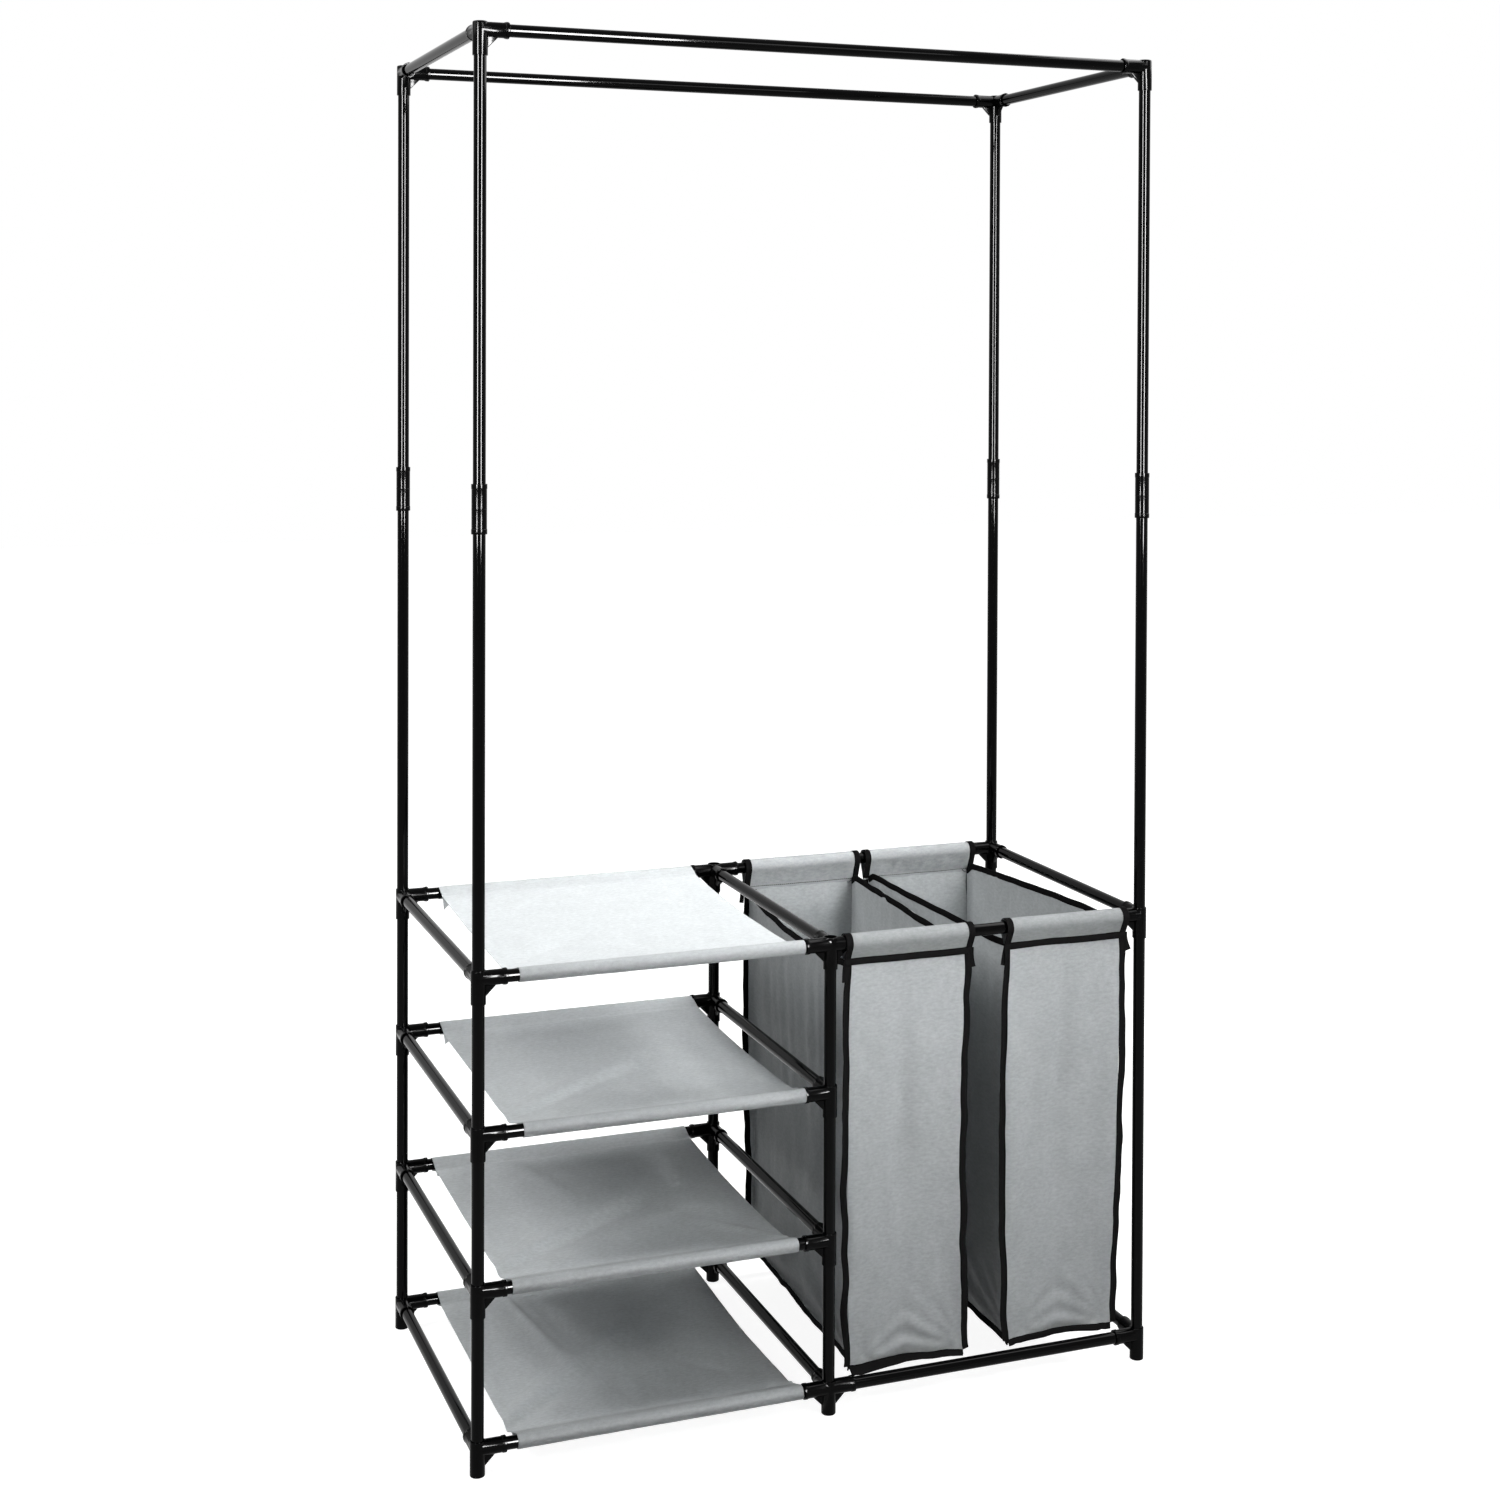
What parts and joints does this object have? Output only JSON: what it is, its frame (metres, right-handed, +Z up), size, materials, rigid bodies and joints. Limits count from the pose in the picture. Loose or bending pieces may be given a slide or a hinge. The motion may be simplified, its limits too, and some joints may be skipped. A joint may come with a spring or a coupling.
{
  "type": "open frame wardrobe",
  "caption": "Open wardrobe frame of push-fit tubes with cloth shelves on one side, hanging space above and laundry bags hung beside them.",
  "frame": {"origin": "on the floor, in the middle of the frame", "axes": "+X to the right seen from the front (towards the laundry bags), +Y to the rear, +Z up"},
  "size_m": [0.9566, 0.4734, 1.8],
  "materials": {
    "black_plastic": "moulded black plastic with a soft gloss",
    "black_steel": "gloss black powder coat on steel tube",
    "grey_cloth": "light grey non-woven cloth, matt"
  },
  "bodies": {
    "frame": {"front_left_foot_with_tube": "black_plastic", "front_left_shelf_2_connector_with_tube": "black_plastic", "front_left_shelf_3_connector_with_tube": "black_plastic", "front_left_shelf_4_connector_with_tube": "black_plastic", "front_left_sleeve_with_tube": "black_plastic", "front_left_top_corner": "black_plastic", "front_middle_foot_with_tube": "black_plastic", "front_middle_shelf_2_connector_with_tube": "black_plastic", "front_middle_shelf_3_connector_with_tube": "black_plastic", "front_middle_top_connector": "black_plastic", "front_right_foot_with_tube": "black_plastic", "front_right_bag_connector_with_tube": "black_plastic", "front_right_sleeve_with_tube": "black_plastic", "front_right_top_corner": "black_plastic", "front_shelf_1_rail": "black_steel", "front_shelf_2_rail": "black_steel", "front_shelf_3_rail": "black_steel", "front_shelf_4_rail": "black_steel", "front_base_rail": "black_steel", "front_bag_rail": "black_steel", "front_top_rail": "black_steel", "rear_left_foot_with_tube": "black_plastic", "rear_left_shelf_2_connector_with_tube": "black_plastic", "rear_left_shelf_3_connector_with_tube": "black_plastic", "rear_left_shelf_4_connector_with_tube": "black_plastic", "rear_left_sleeve_with_tube": "black_plastic", "rear_left_top_corner": "black_plastic", "rear_middle_foot_with_tube": "black_plastic", "rear_middle_shelf_2_connector_with_tube": "black_plastic", "rear_middle_shelf_3_connector_with_tube": "black_plastic", "rear_middle_top_connector": "black_plastic", "rear_right_foot_with_tube": "black_plastic", "rear_right_bag_connector_with_tube": "black_plastic", "rear_right_sleeve_with_tube": "black_plastic", "rear_right_top_corner": "black_plastic", "rear_shelf_1_rail": "black_steel", "rear_shelf_2_rail": "black_steel", "rear_shelf_3_rail": "black_steel", "rear_shelf_4_rail": "black_steel", "rear_base_rail": "black_steel", "rear_bag_rail": "black_steel", "rear_top_rail": "black_steel", "left_side_rail_1": "black_steel", "left_side_rail_2": "black_steel", "left_side_rail_3": "black_steel", "left_side_rail_4": "black_steel", "middle_side_rail_1": "black_steel", "middle_side_rail_2": "black_steel", "middle_side_rail_3": "black_steel", "middle_side_rail_4": "black_steel", "left_top_side_rail": "black_steel", "right_base_side_rail": "black_steel", "right_bag_side_rail": "black_steel", "right_top_side_rail": "black_steel", "shelf_1_cloth": "grey_cloth", "shelf_2_cloth": "grey_cloth", "shelf_3_cloth": "grey_cloth", "shelf_4_cloth": "grey_cloth"},
    "left_bag": {"left_laundry_bag": "grey_cloth"},
    "right_bag": {"right_laundry_bag": "grey_cloth"}
  },
  "joints": [
    {"name": "left_bag_slide", "type": "slide", "parent": "frame", "child": "left_bag", "axis": [1, 0, 0], "range_m": [-0.004, 0.004]},
    {"name": "right_bag_slide", "type": "slide", "parent": "frame", "child": "right_bag", "axis": [1, 0, 0], "range_m": [-0.004, 0.0075]}
  ]
}
